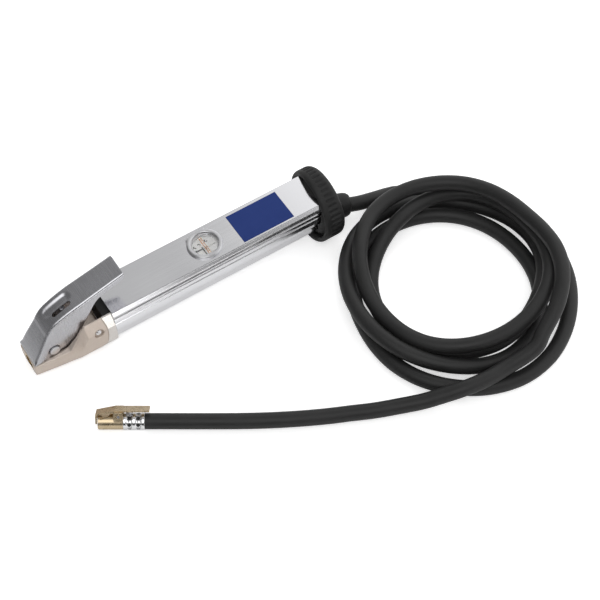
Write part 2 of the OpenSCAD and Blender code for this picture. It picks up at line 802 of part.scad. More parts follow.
function coil_point(i) = let (a = 360 * i / turn_rings, r = smooth(reach, a / 45))
    [coil_x + r * sin(a), coil_y + r * cos(a), hose_r + layer_h * max(0, smooth(layer, a / 45))];
coil = [for (i = [first_ring : last_ring]) coil_point(i)];
coil_in = unit(coil[1] - coil[0]);
coil_out = unit(coil[len(coil) - 1] - coil[len(coil) - 2]);
boot_dir = [cos(boot_dip) * cos(boot_heading), cos(boot_dip) * sin(boot_heading), -sin(boot_dip)];
connector_dir = [cos(connector_heading), sin(connector_heading), 0];
lead_in = concat(
    [boot_foot, boot_foot + (boot_len + 1) * boot_dir], lead_in_route,
    [coil[0] - 2 * hose_r * coil_in, coil[0]]
);
lead_out = concat(
    [coil[len(coil) - 1], coil[len(coil) - 1] + 2 * hose_r * coil_out], lead_out_route,
    [connector_pos - 2 * hose_r * connector_dir, connector_pos + 14 * connector_dir]
);

module hose_lead_in() {
    color("dimgray") swept_tube(lead_in, hose_r, 10);
}

module hose_coil() {
    color("dimgray") swept_tube(coil, hose_r, 6);
}

module hose_lead_out() {
    color("dimgray") swept_tube(lead_out, hose_r, 10);
}

// Length of the hose, and the least gap between stretches that lie over a quarter turn apart
function rest(v) = [for (i = [1 : len(v) - 1]) v[i]];
route = concat(lead_in, rest(coil), rest(lead_out));
fine = [for (i = [0 : len(route) - 2]) for (t = [0, 0.5]) route[i] * (1 - t) + route[i + 1] * t];
function total(v, i = 0) = i >= len(v) ? 0 : v[i] + total(v, i + 1);
steps = [for (i = [1 : len(fine) - 1]) norm(fine[i] - fine[i - 1])];
gaps = [for (i = [0 : len(fine) - 14]) min([for (j = [i + 13 : len(fine) - 1]) norm(fine[i] - fine[j])])];
echo(hose_length = total(steps), least_hose_gap = min(gaps) - 2 * hose_r);
echo(valve_travel = valve_travel, pitch = pitch);

// ---- connector, with its axis along x from the ferrule's rear end ----

clip_pivot = [ferrule_len + 3.5, clip_h - 4.4];
clip_pin_r = 1.2;
thumb_x = -4;
wall_low = 3.4;

module ferrule() {
    color("silver") at_connector() difference() {
        union() {
            rod_x(ferrule_r - 0.3, 0, ferrule_len);
            for (x = [0, ferrule_len / 2 - 1.2, ferrule_len - 2.4]) rod_x(ferrule_r, x, x + 2.4);
        }
        rod_x(hose_r + 0.02, -1, 14);
        rod_x(3.5, 13, ferrule_len + 1);
        for (i = [0 : 7]) rotate([45 * i, 0, 0]) for (x = [5, 12])
            translate([x, 0, ferrule_r + 0.9]) sphere(r = 1.9, $fn = 24);
    }
}

module connector_body() {
    x0 = ferrule_len;
    x1 = ferrule_len + mouth_len;
    color("tan") at_connector() difference() {
        union() {
            rod_x(mouth_body_r, x0, x1);
            rod_x(3.5, 14.2, x0 + 1);
            // Ears for the clip's pin
            intersection() {
                translate([x0, -mouth_body_r, 0]) cube([7, 2 * mouth_body_r, clip_h - 0.8]);
                translate([clip_pivot[0], 0, clip_pivot[1]]) rod_y(5.2, -mouth_body_r, mouth_body_r);
            }
        }
        rod_x(1.5, 13, x1);
        rod_x(mouth_r, x0 + seal_at, x1 + 1);
        rod_x(seal_r, x0 + seal_at, x0 + seal_at + seal_w);
        // Slot that the jaw works in, deeper towards the mouth
        translate([x0 - 1, -clip_w / 2 - free_gap, mouth_r + 0.6]) cube([9.5, clip_w + 2 * free_gap, 12]);
        intersection() {
            translate([x0 + 11, -10, 0]) cube([mouth_len - 11 - mouth_plate, 20, 20]);
            translate([x1, -10, wall_low]) rotate([0, lip_slope, 0])
                translate([-20, 0, 0]) cube([30, 20, 20]);
        }
        translate([clip_pivot[0], 0, clip_pivot[1]]) rod_y(clip_pin_r, -10, 10);
    }
}

module connector_seal() {
    color("black") at_connector() difference() {
        rod_x(seal_r - 0.02, ferrule_len + seal_at, ferrule_len + seal_at + seal_w);
        rod_x(1.8, ferrule_len + seal_at - 1, ferrule_len + mouth_len);
    }
}

module core_pin() {
    color("goldenrod") at_connector() {
        rod_x(1.45, ferrule_len + 4, ferrule_len + seal_at);
        rod_x(0.9, ferrule_len + seal_at, ferrule_len + seal_at + seal_w);
    }
}

clip_front = ferrule_len + mouth_len + free_gap;
clip_side = [
    [thumb_x, clip_h - clip_t], [ferrule_len + 1, clip_h - clip_t], [ferrule_len + 1, clip_pivot[1] - 1.8],
    [ferrule_len + 6, clip_pivot[1] - 1.8], [ferrule_len + 8, clip_h - clip_t - 0.4],
    [clip_front, mouth_body_r + 0.6], [clip_front, 0.4], [clip_front + clip_t, 0.4],
    [clip_front + clip_t, mouth_body_r + 1.6], [ferrule_len + 7, clip_h], [thumb_x, clip_h]
];

module connector_clip() {
    color("tan") at_connector() difference() {
        union() {
            rotate([90, 0, 0]) translate([0, 0, -clip_w / 2]) linear_extrude(clip_w) polygon(clip_side);
            translate([clip_front, 0.4 - mouth_body_r, 0.4])
                cube([clip_t, 2 * mouth_body_r - 0.8, mouth_body_r + 0.4]);
        }
        translate([clip_pivot[0], 0, clip_pivot[1]]) rod_y(clip_pin_r + run_gap, -10, 10);
        // Notch that bites the tyre valve's thread
        rod_x(mouth_r + free_gap, clip_front - 1, clip_front + 3);
        // Hollow under the jaw, between its two side flanges
        translate([ferrule_len + 8.6, clip_t - clip_w / 2, 0])
            cube([mouth_len - 8.6 + free_gap, clip_w - 2 * clip_t, mouth_body_r + 0.8]);
    }
}

module clip_pin() {
    color("silver") at_connector()
        translate([clip_pivot[0], 0, clip_pivot[1]]) rod_y(clip_pin_r, -mouth_body_r, mouth_body_r);
}

module clip_spring() {
    color("silver") at_connector() translate([ferrule_len - 5, 0, ferrule_r + 0.05])
        spring(2.4, clip_h - clip_t - 0.1 - ferrule_r, 2);
}

barrel();
nose_block();
nose_collar();
front_gasket();
nose_screws();
trigger_lever();
lever_pin();
pin_clip();
inlet_bush();
valve_cap();
valve_spring();
valve_stem();
valve_seat();
gauge_tube();
gauge_piston();
piston_seal();
gauge_spring();
gauge_plug();
gauge_scale();
gauge_lens();
gauge_bezel();
label_plate();
hand_guard();
end_plate();
outlet_fitting();
outlet_boot();
hose_lead_in();
hose_coil();
hose_lead_out();
ferrule();
connector_body();
connector_seal();
core_pin();
connector_clip();
clip_pin();
clip_spring();
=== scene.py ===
import math

import bmesh
import bpy
from mathutils import Matrix, Vector


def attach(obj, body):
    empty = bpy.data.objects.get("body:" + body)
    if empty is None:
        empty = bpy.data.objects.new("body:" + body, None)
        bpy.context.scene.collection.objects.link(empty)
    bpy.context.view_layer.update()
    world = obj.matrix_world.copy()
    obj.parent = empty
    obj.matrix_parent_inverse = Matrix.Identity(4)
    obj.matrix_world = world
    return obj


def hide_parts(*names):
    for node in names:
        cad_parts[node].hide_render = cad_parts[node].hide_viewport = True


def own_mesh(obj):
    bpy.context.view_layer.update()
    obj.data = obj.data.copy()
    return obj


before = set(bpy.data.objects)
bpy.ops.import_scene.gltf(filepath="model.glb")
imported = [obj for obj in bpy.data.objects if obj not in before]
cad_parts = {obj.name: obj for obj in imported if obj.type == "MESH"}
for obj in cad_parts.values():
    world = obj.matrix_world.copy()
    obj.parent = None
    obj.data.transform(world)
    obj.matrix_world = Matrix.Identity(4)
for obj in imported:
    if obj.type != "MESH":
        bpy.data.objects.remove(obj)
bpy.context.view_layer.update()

MM = 0.001

# ---- the part's own frame, as in the CAD source, in millimetres ----

BARREL_LEN = 205
TOP_HALF = 18
TOP_H = 22
SOLE_H = 20
GAUGE_X = 96.5
NOSE_LEN = 72
GUARD_R = 32
GUARD_X = 191
GUARD_BACK = 212.5
GUARD_WALL = 3
BACK_FACE = GUARD_BACK + GUARD_WALL
MIDDLE_X = (BACK_FACE - NOSE_LEN) / 2
PASSAGE_DROP = 13
GAUGE_LIFT = 4.5
WELL_R = 12.5
WELL_FLOOR = TOP_H - 4.4
SCALE_TOP = WELL_FLOOR + 0.8
HOSE_R = 6.5
BOOT_LEN = 11.6
BOOT_HEADING, BOOT_DIP = -14, 8
SOLE_TOUCH_X = -34

# The tool rests on the guard's rim and on the nose's sole
PITCH = math.atan((GUARD_R - SOLE_H) / (GUARD_X - SOLE_TOUCH_X))
GROUND_Z = GUARD_R * math.cos(PITCH) - (GUARD_X - MIDDLE_X) * math.sin(PITCH)

# Barrel frame (x from the nose joint, z up through the gauge) to the row frame, in metres
LAY = (
    Matrix.Scale(MM, 4)
    @ Matrix.Translation((0, 0, GROUND_Z))
    @ Matrix.Rotation(-PITCH, 4, "Y")
    @ Matrix.Translation((-MIDDLE_X, 0, 0))
)

CONNECTOR_POS = Vector((-90.25, -99.3, 7))
CONNECTOR_HEADING, CONNECTOR_ROLL = math.radians(148), math.radians(30)
CONNECTOR_DIR = Vector((math.cos(CONNECTOR_HEADING), math.sin(CONNECTOR_HEADING), 0))
AT_CONNECTOR = (
    Matrix.Scale(MM, 4)
    @ Matrix.Translation(CONNECTOR_POS)
    @ Matrix.Rotation(CONNECTOR_HEADING, 4, "Z")
    @ Matrix.Rotation(CONNECTOR_ROLL, 4, "X")
)


# ---- camera ----

CAMERA_TARGET = Vector((79.03, -59.15, 0))
CAMERA_AZIMUTH, CAMERA_ELEVATION = -31.95, 53.91
CAMERA_DISTANCE = 1351.6
CAMERA_LENS = 96.606


def make_camera():
    """A long lens that looks down at the part from in front and to the left."""
    target = CAMERA_TARGET * MM
    azimuth, elevation = math.radians(CAMERA_AZIMUTH), math.radians(CAMERA_ELEVATION)
    back = Vector((
        math.sin(azimuth) * math.cos(elevation),
        -math.cos(azimuth) * math.cos(elevation),
        math.sin(elevation),
    ))
    data = bpy.data.cameras.new("camera")
    data.sensor_width = 36
    data.lens = CAMERA_LENS
    data.clip_start, data.clip_end = 0.05, 50
    camera = bpy.data.objects.new("camera", data)
    bpy.context.scene.collection.objects.link(camera)
    camera.location = target + CAMERA_DISTANCE * MM * back
    camera.rotation_mode = "QUATERNION"
    camera.rotation_quaternion = (-back).to_track_quat("-Z", "Y")
    bpy.context.scene.camera = camera


# ---- hose route, in millimetres ----

# Every 45 degrees round the coil: its distance from the middle, and how many hoses lie under it
REACH = [
    103, 103.2, 102, 106, 111.5, 100, 81.5, 76,
    73.5, 73, 73.5, 81, 90, 87.5, 84.5, 83.5,
    87.5, 89, 87.5, 79.5, 77, 69.5, 64, 62,
    67.5, 88.5, 86, 85, 80, 74.5, 69, 73.5,
    83.5, 86, 82, 94.5, 103, 104,
]
LAYER = [
    0, 0, 0, 0, 0, 0, 0, 0,
    0, 0, 0, 0, 0.1, 0.7, 1.15, 1,
    0.25, 0, 0.5, 1.1, 0.5, 0, 0, 0.15,
    1.1, 1, 1.5, 2.1, 1.6, 1.05, 1.1, 1.9,
    1.9, 2.15, 2.6, 2.9, 1.3, 1,
]
LAYER_H = 13.6
COIL_CENTRE = Vector((189.25, -112, 0))
COIL_RINGS = range(1, 108)
RINGS_PER_STATION = 3
RING_TURN = 15


def between(a, b, c, d, f):
    """Catmull-Rom value from b to c."""
    slope = (c - a) * f
    square = (2 * a - 5 * b + 4 * c - d) * f * f
    cube = (3 * b - a - 3 * c + d) * f ** 3
    return b + (slope + square + cube) / 2


def station(values, s):
    """The smooth value at station s of a list."""
    i = math.floor(s)
    a, b, c, d = (values[min(max(k, 0), len(values) - 1)] for k in (i - 1, i, i + 1, i + 2))
    return between(a, b, c, d, s - i)


def coil_point(i):
    """The coil's centre line at its ring i."""
    turn = math.radians(RING_TURN * i)
    reach = station(REACH, i / RINGS_PER_STATION)
    height = HOSE_R + LAYER_H * max(0, station(LAYER, i / RINGS_PER_STATION))
    return COIL_CENTRE + Vector((reach * math.sin(turn), reach * math.cos(turn), height))


def laid_mm(x, y, z):
    """A point of the barrel's frame in the part's frame, both in millimetres."""
    return (LAY @ Vector((x, y, z))) / MM


# Points that the hose passes before and after its coil
LEAD_IN = [(171.75, -6.6, 14.2), (186.25, -7.5, 11.2)]
LEAD_OUT = [
    (174.25, -215.5, 20), (154.25, -216, 20), (136.25, -213.5, 19), (121.25, -208, 14.5),
    (106.25, -202, 10), (89.25, -195, 8), (69.25, -187, 7), (51.25, -179, 7), (35.25, -172, 7),
    (14.75, -162, 7), (-5.75, -151, 7), (-26.75, -138.8, 7), (-50.75, -124, 7),
]
IN_BOOT, IN_FERRULE = 7.5, 14


def hose_route():
    """From inside the boot, round the coil from its inner end, and out to the connector."""
    coil = [coil_point(i) for i in COIL_RINGS]
    heading, dip = math.radians(BOOT_HEADING), math.radians(BOOT_DIP)
    boot_dir = Vector((
        math.cos(dip) * math.cos(heading),
        math.cos(dip) * math.sin(heading),
        -math.sin(dip),
    ))
    foot = laid_mm(GUARD_BACK + IN_BOOT, 0, -PASSAGE_DROP - 3) - Vector((0, 1, 0))
    coil_in = (coil[1] - coil[0]).normalized()
    coil_out = (coil[-1] - coil[-2]).normalized()
    lead_in = [foot, foot + (BOOT_LEN + 1) * boot_dir]
    lead_in += [Vector(p) for p in LEAD_IN] + [coil[0] - 2 * HOSE_R * coil_in]
    lead_out = [coil[-1] + 2 * HOSE_R * coil_out] + [Vector(p) for p in LEAD_OUT]
    lead_out += [CONNECTOR_POS - 2 * HOSE_R * CONNECTOR_DIR, CONNECTOR_POS + IN_FERRULE * CONNECTOR_DIR]
    return lead_in + coil + lead_out


def smooth_route(points, step, cuts=12):
    """Centripetal Catmull-Rom curve through the points, resampled to even steps, and its length."""
    ends = [2 * points[0] - points[1]] + points + [2 * points[-1] - points[-2]]
    dense = []
    for a, b, c, d in zip(ends, ends[1:], ends[2:], ends[3:]):
        t0 = 0
        t1 = t0 + (b - a).length ** 0.5
        t2 = t1 + (c - b).length ** 0.5
        t3 = t2 + (d - c).length ** 0.5
        for k in range(cuts):
            t = t1 + (t2 - t1) * k / cuts
            a1 = (t1 - t) / (t1 - t0) * a + (t - t0) / (t1 - t0) * b
            a2 = (t2 - t) / (t2 - t1) * b + (t - t1) / (t2 - t1) * c
            a3 = (t3 - t) / (t3 - t2) * c + (t - t2) / (t3 - t2) * d
            b1 = (t2 - t) / (t2 - t0) * a1 + (t - t0) / (t2 - t0) * a2
            b2 = (t3 - t) / (t3 - t1) * a2 + (t - t1) / (t3 - t1) * a3
            dense.append((t2 - t) / (t2 - t1) * b1 + (t - t1) / (t2 - t1) * b2)
    dense.append(points[-1])
    total = sum((q - p).length for p, q in zip(dense, dense[1:]))
    count = round(total / step)
    even, walked, k = [dense[0]], 0, 0
    for i in range(1, count):
        goal = total * i / count
        while walked + (dense[k + 1] - dense[k]).length < goal:
            walked += (dense[k + 1] - dense[k]).length
            k += 1
        even.append(dense[k].lerp(dense[k + 1], (goal - walked) / (dense[k + 1] - dense[k]).length))
    even.append(dense[-1])
    # The hose lies on the ground and doesn't sink in
    for p in even:
        p.z = max(p.z, HOSE_R)
    return even, total


# ---- mesh helpers ----


def add_piece(name, mesh, body, material, slot, replaced=()):
    """A visible piece that moves with a body and stands in for the replaced nodes."""
    piece = bpy.data.objects.new(name, mesh)
    bpy.context.scene.collection.objects.link(piece)
    mesh.materials.clear()
    mesh.materials.append(material)
    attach(piece, body)
    if replaced:
        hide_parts(*replaced)
        dict.fromkeys(replaced, piece)
    return piece


def tube_mesh(name, points, radius, sides):
    """A closed tube round the points, with u round it and v along it in metres."""
    mesh = bmesh.new()
    layer = mesh.loops.layers.uv.new("UVMap")
    forward = (points[1] - points[0]).normalized()
    side = forward.cross(Vector((0, 0, 1))).normalized()
    rings, walked, along = [], 0, []
    for i, p in enumerate(points):
        ahead = points[min(i + 1, len(points) - 1)] - points[max(i - 1, 0)]
        forward = ahead.normalized()
        side = (side - side.dot(forward) * forward).normalized()
        up = side.cross(forward)
        if i:
            walked += (p - points[i - 1]).length
        along.append(walked)
        rings.append([mesh.verts.new(p + radius * (math.cos(a) * side + math.sin(a) * up))
                      for a in (2 * math.pi * k / sides for k in range(sides))])
    for i in range(len(rings) - 1):
        for k in range(sides):
            n = (k + 1) % sides
            face = mesh.faces.new((rings[i][k], rings[i][n], rings[i + 1][n], rings[i + 1][k]))
            face.smooth = True
            corners = ((k, i), (k + 1, i), (k + 1, i + 1), (k, i + 1))
            for loop, (u, v) in zip(face.loops, corners):
                loop[layer].uv = (u / sides, along[v])
    mesh.faces.new(list(reversed(rings[0])))
    mesh.faces.new(rings[-1])
    bmesh.ops.recalc_face_normals(mesh, faces=mesh.faces)
    made = bpy.data.meshes.new(name)
    mesh.to_mesh(made)
    mesh.free()
    return made


def laid_mesh(name, verts, faces):
    """A mesh from points in millimetres in the barrel's frame."""
    mesh = bpy.data.meshes.new(name)
    mesh.from_pydata([LAY @ Vector(v) for v in verts], [], faces)
    return mesh


def prism_faces(count):
    """Faces between two rings of points: both ends, and the walls."""
    walls = [(k, (k + 1) % count, count + (k + 1) % count, count + k) for k in range(count)]
    return [tuple(reversed(range(count))), tuple(range(count, 2 * count))] + walls


def finished(mesh, crisp=35):
    """The mesh shaded smooth, but for edges over the crisp angle."""
    for face in mesh.polygons:
        face.use_smooth = True
    mesh.set_sharp_from_angle(angle=math.radians(crisp))
    return mesh


def worked(mesh, *steps):
    """The mesh that is left when the given modifiers have been applied in turn."""
    piece = bpy.data.objects.new(mesh.name, mesh)
    bpy.context.scene.collection.objects.link(piece)
    for kind, values in steps:
        modifier = piece.modifiers.new(kind.lower(), kind)
        for name, value in values.items():
            setattr(modifier, name, value)
    graph = bpy.context.evaluated_depsgraph_get()
    made = bpy.data.meshes.new_from_object(piece.evaluated_get(graph))
    bpy.data.objects.remove(piece)
    return made


def softened(node, grain, passes, keep):
    """A cast or moulded piece: its CAD solid with all its edges rounded by the same small radius."""
    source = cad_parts[node]
    mesh = source.data.copy()
    mesh.name = node
    mesh.transform(source.matrix_world)
    made = worked(
        mesh,
        ("REMESH", {"mode": "VOXEL", "voxel_size": grain * MM}),
        ("SMOOTH", {"factor": 0.5, "iterations": passes}),
        ("DECIMATE", {"ratio": keep}),
    )
    for face in made.polygons:
        face.use_smooth = True
    return made


def swell(mesh, centre, factors):
    """Stretch the mesh away from the centre."""
    for vertex in mesh.vertices:
        away = vertex.co - centre
        vertex.co = centre + Vector(a * f for a, f in zip(away, factors))


def cut_away(mesh, cutter):
    """The mesh less a cutter's volume."""
    tool = bpy.data.objects.new("cutter", cutter)
    bpy.context.scene.collection.objects.link(tool)
    made = worked(mesh, ("BOOLEAN", {"operation": "DIFFERENCE", "solver": "EXACT", "object": tool}))
    bpy.data.objects.remove(tool)
    return made


# ---- shapes of the pieces, in the barrel's frame in millimetres ----

def soft_step(value, low, high):
    """0 up to low, 1 past high, and smooth between."""
    t = min(max((value - low) / (high - low), 0), 1)
    return t * t * (3 - 2 * t)


def bend(a, b, c, steps=6):
    """Points of a curve that leaves a towards b and comes to c."""
    shares = [k / steps for k in range(1, steps + 1)]
    return [(1 - t) ** 2 * a + 2 * t * (1 - t) * b + t * t * c for t in shares]


def rounded(corners, steps=5, share=0.45):
    """A closed outline through (x, y, radius) corners; a fillet takes at most a share of a side."""
    outline = []
    for i, (x, y, radius) in enumerate(corners):
        p = Vector((x, y))
        back = Vector(corners[i - 1][:2]) - p
        ahead = Vector(corners[(i + 1) % len(corners)][:2]) - p
        if not radius:
            outline.append(p)
            continue
        reach = radius / math.tan(back.angle(ahead) / 2)
        reach = min(reach, share * back.length, share * ahead.length)
        start, end = p + reach * back.normalized(), p + reach * ahead.normalized()
        outline += [start] + bend(start, p, end, steps)
    return outline


def resampled(line, count):
    """The polyline with its points spread evenly along it."""
    steps = [(b - a).length for a, b in zip(line, line[1:])]
    total, made, k, walked = sum(steps), [], 0, 0
    for i in range(count - 1):
        goal = total * i / (count - 1)
        while walked + steps[k] < goal:
            walked += steps[k]
            k += 1
        made.append(line[k].lerp(line[k + 1], (goal - walked) / steps[k]))
    return made + [line[-1]]


def disc_tool(radius, x, z0, z1, sides=96):
    """A round cutter that stands at x on the barrel's middle."""
    ring = [(x + radius * math.cos(a), radius * math.sin(a)) for a in
            (2 * math.pi * k / sides for k in range(sides))]
    verts = [(*p, z0) for p in ring] + [(*p, z1) for p in ring]
    return finished(laid_mesh("tool", verts, prism_faces(sides)))


def slot_tool(centre, run, radius, z0, z1):
    """An upright cutter with rounded ends."""
    half = [(run + radius * math.cos(a), radius * math.sin(a)) for a in
            (math.radians(d) for d in range(-90, 91, 10))]
    outline = half + [(-x, -y) for x, y in half]
    verts = [(centre[0] + x, centre[1] + y, z) for z in (z0, z1) for x, y in outline]
    return finished(laid_mesh("tool", verts, prism_faces(len(outline))))


# (half width, height, fillet) down a flank, over its beads and grooves
FLANK = [
    (TOP_HALF, TOP_H, 1.0), (18.4, 21.2, 0.3), (19.7, 19.1, 3), (20.9, 16.2, 0.8), (19.9, 15.0, 0.3),
    (19.5, 13.9, 0.3), (20.2, 12.9, 0.5), (20.6, 10.6, 0.8), (20.2, 9.7, 0.3), (20.8, 8.8, 0.5),
    (21.5, 5.0, 3), (21.4, 1.6, 1.5), (19.9, -1, 0.5),
]
KEEL_SIDE, KEEL_DROP, KEEL_R = 2.2, 3, 17


def extrusion(x0, x1):
    """Beads and grooves on the flanks, over a keel that is round below."""
    keel = [(KEEL_SIDE + KEEL_R * math.cos(a), -KEEL_DROP - KEEL_R * math.sin(a), 0) for a in
            (math.radians(d) for d in range(4, 91, 6))]
    right = FLANK + keel
    outline = rounded(right + [(-y, z, r) for y, z, r in reversed(right)])
    verts = [(x, p[0], p[1]) for x in (x0, x1) for p in outline]
    return finished(laid_mesh("barrel", verts, prism_faces(len(outline))))


def barrel_mesh():
    """The extrusion with the gauge's well sunk in its top."""
    well = disc_tool(WELL_R, GAUGE_X, WELL_FLOOR, TOP_H + 1)
    return finished(cut_away(extrusion(0, BARREL_LEN), well), 40)


# ---- the ribbed guard ----

# The dome in front bulges forward of DOME_X, inside a lip that is round in section
DOME_X, DOME_DEEP, DOME_R = 198.5, 6, 28.4
LIP_X, LIP_R, LIP_HALF_X, LIP_HALF_R = 194, 29.7, 3, 2.3
BACK_ROUND = 6.5
BACK_FLAT_R = 20
AXIS_R = 0.01
# The lip leans back this much for each millimetre above its foot, and for each towards +y
LEAN_UP, LEAN_SIDE = math.tan(math.radians(5.8)), 0.11
LEAN_END, LEAN_FADE, LEAN_RADII = 206, 12, (20, 28)
RIBS, RIBS_FROM, RIB_DEEP = 40, 198.2, 1.3
GROOVE_WALLS, GROOVE_END = (-0.3, 0.85), (208, 211)
STEPS_PER_RIB = 8
# The barrel's outline is cut out of the cup from here on
SOCKET_FROM = 180


def guard_front():
    """(x, radius) from the middle of the guard's dome out to its lip and over it."""
    dome = [(DOME_X - DOME_DEEP, AXIS_R)]
    dome += [(DOME_X - DOME_DEEP * math.cos(a), DOME_R * math.sin(a)) for a in
             (math.radians(10 * k) for k in range(1, 9))]
    lip = [(LIP_X - LIP_HALF_X * math.sin(a), LIP_R + LIP_HALF_R * math.cos(a)) for a in
           (math.radians(180 - 18 * k) for k in range(11))]
    return dome + [(DOME_X + 0.5, DOME_R + 0.2)] + lip


def guard_rim():
    """(x, radius) from behind the lip over the ribbed rim to the middle of the guard's back."""
    rim = [(x, GUARD_R) for x in (197.5, RIBS_FROM - 0.4, RIBS_FROM + 0.8, RIBS_FROM + 1.8, 206.5)]
    edge = [(BACK_FACE - BACK_ROUND * (1 - math.sin(a)), GUARD_R - BACK_ROUND * (1 - math.cos(a)))
            for a in (math.radians(9 * k) for k in range(11))]
    return rim + edge + [(BACK_FACE, BACK_FLAT_R), (BACK_FACE, AXIS_R)]


def groove_depth(turn, x):
    """Depth of the grooves between the ribs, which start sharply and fade at the back edge."""
    across = soft_step(-math.cos(RIBS * turn), *GROOVE_WALLS)
    start = soft_step(x, RIBS_FROM - 0.5, RIBS_FROM + 1.9)
    return RIB_DEEP * across * start * (1 - soft_step(x, *GROOVE_END))


def guard_mesh():
    """Moulded cup: its lip leans back towards the top, and grooves run over its rim."""
    front, rim, steps = guard_front(), guard_rim(), STEPS_PER_RIB * RIBS
    verts, faces = [], []
    for k in range(steps):
        turn = 2 * math.pi * k / steps
        for i, (x, radius) in enumerate(front + rim):
            y, z = -math.sin(turn) * radius, math.cos(turn) * radius
            lean = (z + GUARD_R) * LEAN_UP + LEAN_SIDE * max(0, y)
            lean *= min(1, max(0, (LEAN_END - x) / LEAN_FADE)) * soft_step(radius, *LEAN_RADII)
            if i >= len(front):
                shrink = groove_depth(turn, x)
                y, z = y * (1 - shrink / radius), z * (1 - shrink / radius)
            verts.append((x + lean, y, z))
    rows = len(front + rim)
    for k in range(steps):
        n = (k + 1) % steps
        faces += [(k * rows + i, k * rows + i + 1, n * rows + i + 1, n * rows + i)
                  for i in range(rows - 1)]
    cup = finished(laid_mesh("hand_guard", verts, faces))
    return finished(cut_away(cup, extrusion(SOCKET_FROM, BARREL_LEN)), 50)


# ---- the pressed lever ----

# (x, height) along the sheet's middle and along its cheeks' lower edges, from the rear end
LEVER_TOP = [
    (19.2, 54.3), (-22.5, 43.9), (-35, 40.9), (-45, 35.8), (-51.3, 32.7), (-56, 24), (-71.4, 0.6),
]
LEVER_EDGE = [
    (18.3, 48.9), (-3, 42.6), (-8.5, 40.6), (-12.5, 34.5), (-31, 7.5), (-37, 0.4), (-45, 0.2), (-71.4, -0.3),
]
# (x, half width)
LEVER_HALF = [(-72, 14.2), (-64, 13.7), (-56, 12.2), (-46, 12), (-22, 12.4), (0, 12), (19.5, 11.8)]
LEVER_BEND, BEND_SHARE = 2.6, 0.6
LEVER_T = 1.6
LEVER_STEPS, FLAT_STEPS, FOLD_STEPS, CHEEK_STEPS = 130, 14, 6, 22
CORNER_DEEP, CORNER_WIDE, CORNER_STEPS = 0.035, 2, 10
SLOT_AT, SLOT_RUN, SLOT_R, SLOT_HEIGHTS = (-35.2, -3.5), 6.4, 2.2, (25, 60)
DISH_AT, DISH_RUN, DISH_FLOOR_R, DISH_R, DISH_DEEP = (-37.3, 3.0), 8.6, 1.6, 5.6, 1.4
PIVOT, CUP_FLOOR_R, CUP_R, CUP_DEEP = (-51.7, 4.7), 4.4, 5.9, 0.9
EDGE_BREAK = 0.3


def lever_half(x):
    """The lever's half width at x."""
    for (x0, w0), (x1, w1) in zip(LEVER_HALF, LEVER_HALF[1:]):
        if x <= x1:
            return w0 + (w1 - w0) * max(0, x - x0) / (x1 - x0)
    return LEVER_HALF[-1][1]


def capsule_distance(x, y, centre, run):
    """Distance from a line of half length run that lies along x through the centre."""
    return math.hypot(max(0, abs(x - centre[0]) - run), y - centre[1])


def lever_lines():
    """The sheet's middle line and its cheeks' lower edge, with their bends, in even steps."""
    top, edge = [Vector(p) for p in LEVER_TOP], [Vector(p) for p in LEVER_EDGE]
    top = top[:2] + bend(*top[1:4]) + bend(*top[3:6]) + top[6:]
    edge = edge[:2] + bend(*edge[1:4]) + [edge[4]] + bend(*edge[4:7]) + edge[7:]
    return resampled(top, LEVER_STEPS), resampled(edge, LEVER_STEPS)


def lever_rows():
    """Half cross-sections of the sheet, from its middle over the bend and down the cheek."""
    top, edge = lever_lines()
    for i, (p, low) in enumerate(zip(top, edge)):
        along = (top[min(i + 1, LEVER_STEPS - 1)] - top[max(i - 1, 0)]).normalized()
        out = Vector((along.y, -along.x))
        turn = min(LEVER_BEND, BEND_SHARE * (p - low).length)
        flat = lever_half(p.x) - turn
        line = [(p, flat * k / FLAT_STEPS, out) for k in range(FLAT_STEPS + 1)]
        for k in range(1, FOLD_STEPS + 1):
            a = math.radians(90 * k / FOLD_STEPS)
            q = p + turn * (math.cos(a) - 1) * out
            line.append((q, lever_half(q.x) - turn + turn * math.sin(a), out))
        foot = p - turn * out
        cheek = [foot.lerp(low, k / CHEEK_STEPS) for k in range(1, CHEEK_STEPS + 1)]
        line += [(q, lever_half(q.x), None) for q in cheek]
        yield i, flat, line


def dent_at(x, y, z, out):
    """How far the dish in the plate, or the cup round the pivot, pushes a point in."""
    if out:
        away = capsule_distance(x, y, DISH_AT, DISH_RUN)
        deep = DISH_DEEP * (1 - soft_step(away, DISH_FLOOR_R, DISH_R))
        return (-deep * out.x, 0, -deep * out.y)
    if y < 0:
        away = math.hypot(x - PIVOT[0], z - PIVOT[1])
        return (0, CUP_DEEP * (1 - soft_step(away, CUP_FLOOR_R, CUP_R)), 0)
    return (0, 0, 0)


def lever_points():
    """The sheet's points row by row, how far each is pushed in, and the length of a row."""
    verts, dents, row = [], [], 0
    for i, flat, line in lever_rows():
        # The rear end's corners are rounded
        corner = CORNER_DEEP * max(0, 1 - i / CORNER_STEPS)
        whole = [(q, -y, out) for q, y, out in reversed(line[1:])] + line
        row = len(whole)
        for q, y, out in whole:
            x, z = q.x - corner * max(0, abs(y) - flat + CORNER_WIDE) ** 2, q.y
            verts.append((x, y, z))
            dents.append(dent_at(x, y, z, out))
    return verts, dents, row


def face_up(sheet):
    """Turn the sheet's faces all one way, with the plate's outside up."""
    turned = bmesh.new()
    turned.from_mesh(sheet)
    bmesh.ops.recalc_face_normals(turned, faces=turned.faces)
    turned.faces.ensure_lookup_table()
    if turned.faces[len(turned.faces) // 2].normal.z < 0:
        bmesh.ops.reverse_faces(turned, faces=turned.faces)
    turned.to_mesh(sheet)
    turned.free()


